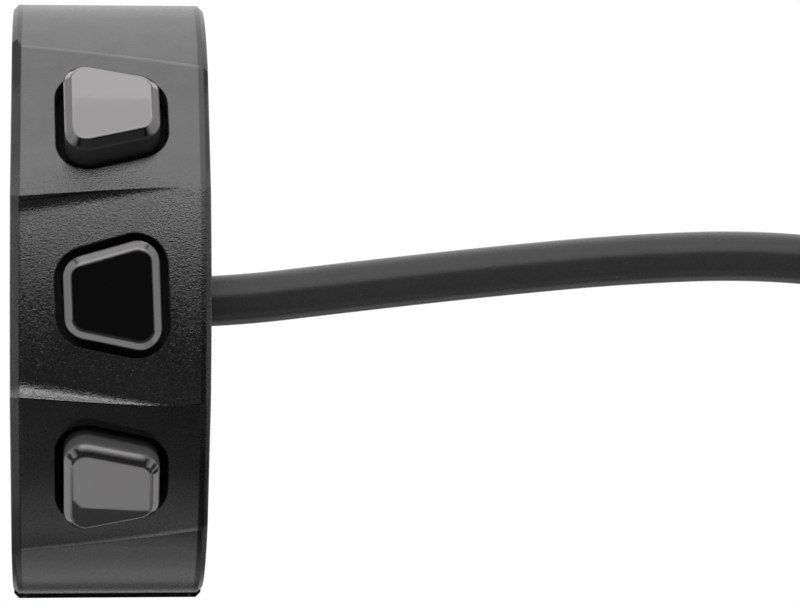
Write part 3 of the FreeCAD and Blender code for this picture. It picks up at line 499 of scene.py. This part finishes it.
# Camera, light and background

CAMERA_PLACE = Vector((-2.4, -250.0, -2.0)) * MM
CAMERA_YAW = math.radians(5.128)
CAMERA_PITCH = math.radians(0.407)
FOCAL_PIXELS = 3650
PHOTO_WIDTH = 800
SENSOR = 36
TENT_RADIUS = 0.6
TENT_OPENING = 0.3
FLOOR_RADIUS = 0.45
FLOOR_GAP = 0.3 * MM
CARD_GAP = 0.1 * MM
# The painted reflection's strips as x and y of their corners, in millimetres.
DARK_STRIPS = [
    [(-400, -36.5), (-400, -600), (400, -600), (400, -36.5)],
    [(-200, -24.5), (-200, -31.9), (-2.3, -31.9), (-1.7, -31.3), (3.6, -31), (200, -31), (200, -24.5)],
    [(-70, 5), (-70, -16.5), (70, -16.5), (70, 5)],
    [(-70, 150), (-70, 75), (70, 75), (70, 150)],
]


def camera():
    """The photo's camera: close enough to show the ring's curve in perspective."""
    data = bpy.data.cameras.new("camera")
    data.sensor_width = SENSOR
    data.lens = FOCAL_PIXELS / PHOTO_WIDTH * SENSOR
    data.clip_start = 0.01
    data.clip_end = 20
    made = bpy.data.objects.new("camera", data)
    bpy.context.scene.collection.objects.link(made)
    made.location = CAMERA_PLACE
    flat = math.cos(CAMERA_PITCH)
    ahead = Vector((math.sin(CAMERA_YAW) * flat, math.cos(CAMERA_YAW) * flat, math.sin(CAMERA_PITCH)))
    made.rotation_euler = ahead.to_track_quat("-Z", "Y").to_euler()
    bpy.context.scene.camera = made


def stand(name, shape, material):
    """Adds a piece of the studio, which isn't part of the object."""
    mesh = bpy.data.meshes.new(name)
    shape.to_mesh(mesh)
    shape.free()
    mesh.materials.append(material)
    made = bpy.data.objects.new(name, mesh)
    bpy.context.scene.collection.objects.link(made)
    return made


def backdrop():
    """White all round."""
    made = bpy.data.worlds.new("white")
    bpy.context.scene.world = made
    made.use_nodes = True
    shader = made.node_tree.nodes["Background"]
    shader.inputs["Color"].default_value = (1, 1, 1, 1)
    shader.inputs["Strength"].default_value = 1.0


def tent_glow():
    """Bright from above, dimmer at the sides and dark in front. Places are shares of the tent's radius."""
    material = bpy.data.materials.new("tent")
    material.use_nodes = True
    tree = Nodes(material.node_tree)
    tree.tree.nodes.clear()
    place = tree.node("ShaderNodeTexCoord").outputs["Object"]
    x, y, z = (tree.math("DIVIDE", axis, TENT_RADIUS) for axis in tree.axes(place))
    in_front = tree.math("MULTIPLY", y, -1)
    aside = tree.math("ABSOLUTE", x)
    above = tree.product(tree.ramp(z, 0.29, 0.44), tree.ramp(aside, 0.32, 0.62, 1.0, 0.45))
    # Two dimmer places overhead: the one in front gives the upper cap its two tones.
    step = tree.ramp(in_front, 0.2488, 0.2508, 0.0, -0.17)
    zenith = tree.ramp(tree.math("ABSOLUTE", y), 0.08, 0.11, -0.42, 0.0)
    overhead = tree.product(tree.ramp(z, 0.8, 0.85), tree.math("ADD", step, zenith))
    beside = tree.ramp(aside, 0.55, 0.9, 0.0, 0.4)
    glow = tree.node("ShaderNodeEmission")
    tree.link(tree.highest(tree.math("ADD", above, overhead), beside, 0.01), glow.inputs["Strength"])
    tree.link(glow.outputs[0], tree.node("ShaderNodeOutputMaterial").inputs["Surface"])
    return material


def tent():
    """A soft light tent, open behind."""
    shape = bmesh.new()
    bmesh.ops.create_uvsphere(shape, u_segments=96, v_segments=48, radius=TENT_RADIUS)
    behind = [face for face in shape.faces if face.calc_center_median().y > TENT_OPENING]
    bmesh.ops.delete(shape, geom=behind, context="FACES")
    made = stand("tent", shape, tent_glow())
    made.visible_camera = False


def floor():
    """A pale, matt, faintly cloudy disc."""
    shape = bmesh.new()
    bmesh.ops.create_circle(shape, cap_ends=True, segments=96, radius=FLOOR_RADIUS)
    look = Look("pale_floor", (0.66, 0.66, 0.66), 0.9, Specular_IOR_Level=0.0)
    look.color(look.ramp(look.noise(4 * MM, 3), 0.3, 0.7), (0.65, 0.65, 0.65), (0.67, 0.67, 0.67))
    made = stand("floor", shape, look.material)
    made.location.z = CAD_BOX[0][2] - FLOOR_GAP


def reflection_card():
    """A painted reflection: dark strips on the floor, hidden from the camera, from diffuse light and from
    shadows. The lower faces mirror them and the pale floor between them.
    """
    shape = bmesh.new()
    for strip in DARK_STRIPS:
        shape.faces.new([shape.verts.new((x * MM, y * MM, 0)) for x, y in strip])
    dark, less_dark = (0.065, 0.065, 0.065), (0.095, 0.095, 0.095)
    look = Look("dark_reflection_card", dark, 0.8)
    y = look.axes(look.place)[1]
    # Part of the painted reflection: the second strip is a little less dark.
    second_strip = look.product(look.ramp(y, -35 * MM, -33 * MM), look.fade(y, -22 * MM, -20 * MM))
    look.color(second_strip, dark, less_dark)
    made = stand("reflection_card", shape, look.material)
    made.location.z = CAD_BOX[0][2] - CARD_GAP
    made.visible_camera = False
    made.visible_diffuse = False
    made.visible_shadow = False


def main():
    camera()
    cable()
    dress_nodes()
    backdrop()
    tent()
    floor()
    reflection_card()
    bpy.context.scene.view_settings.view_transform = "Standard"


main()
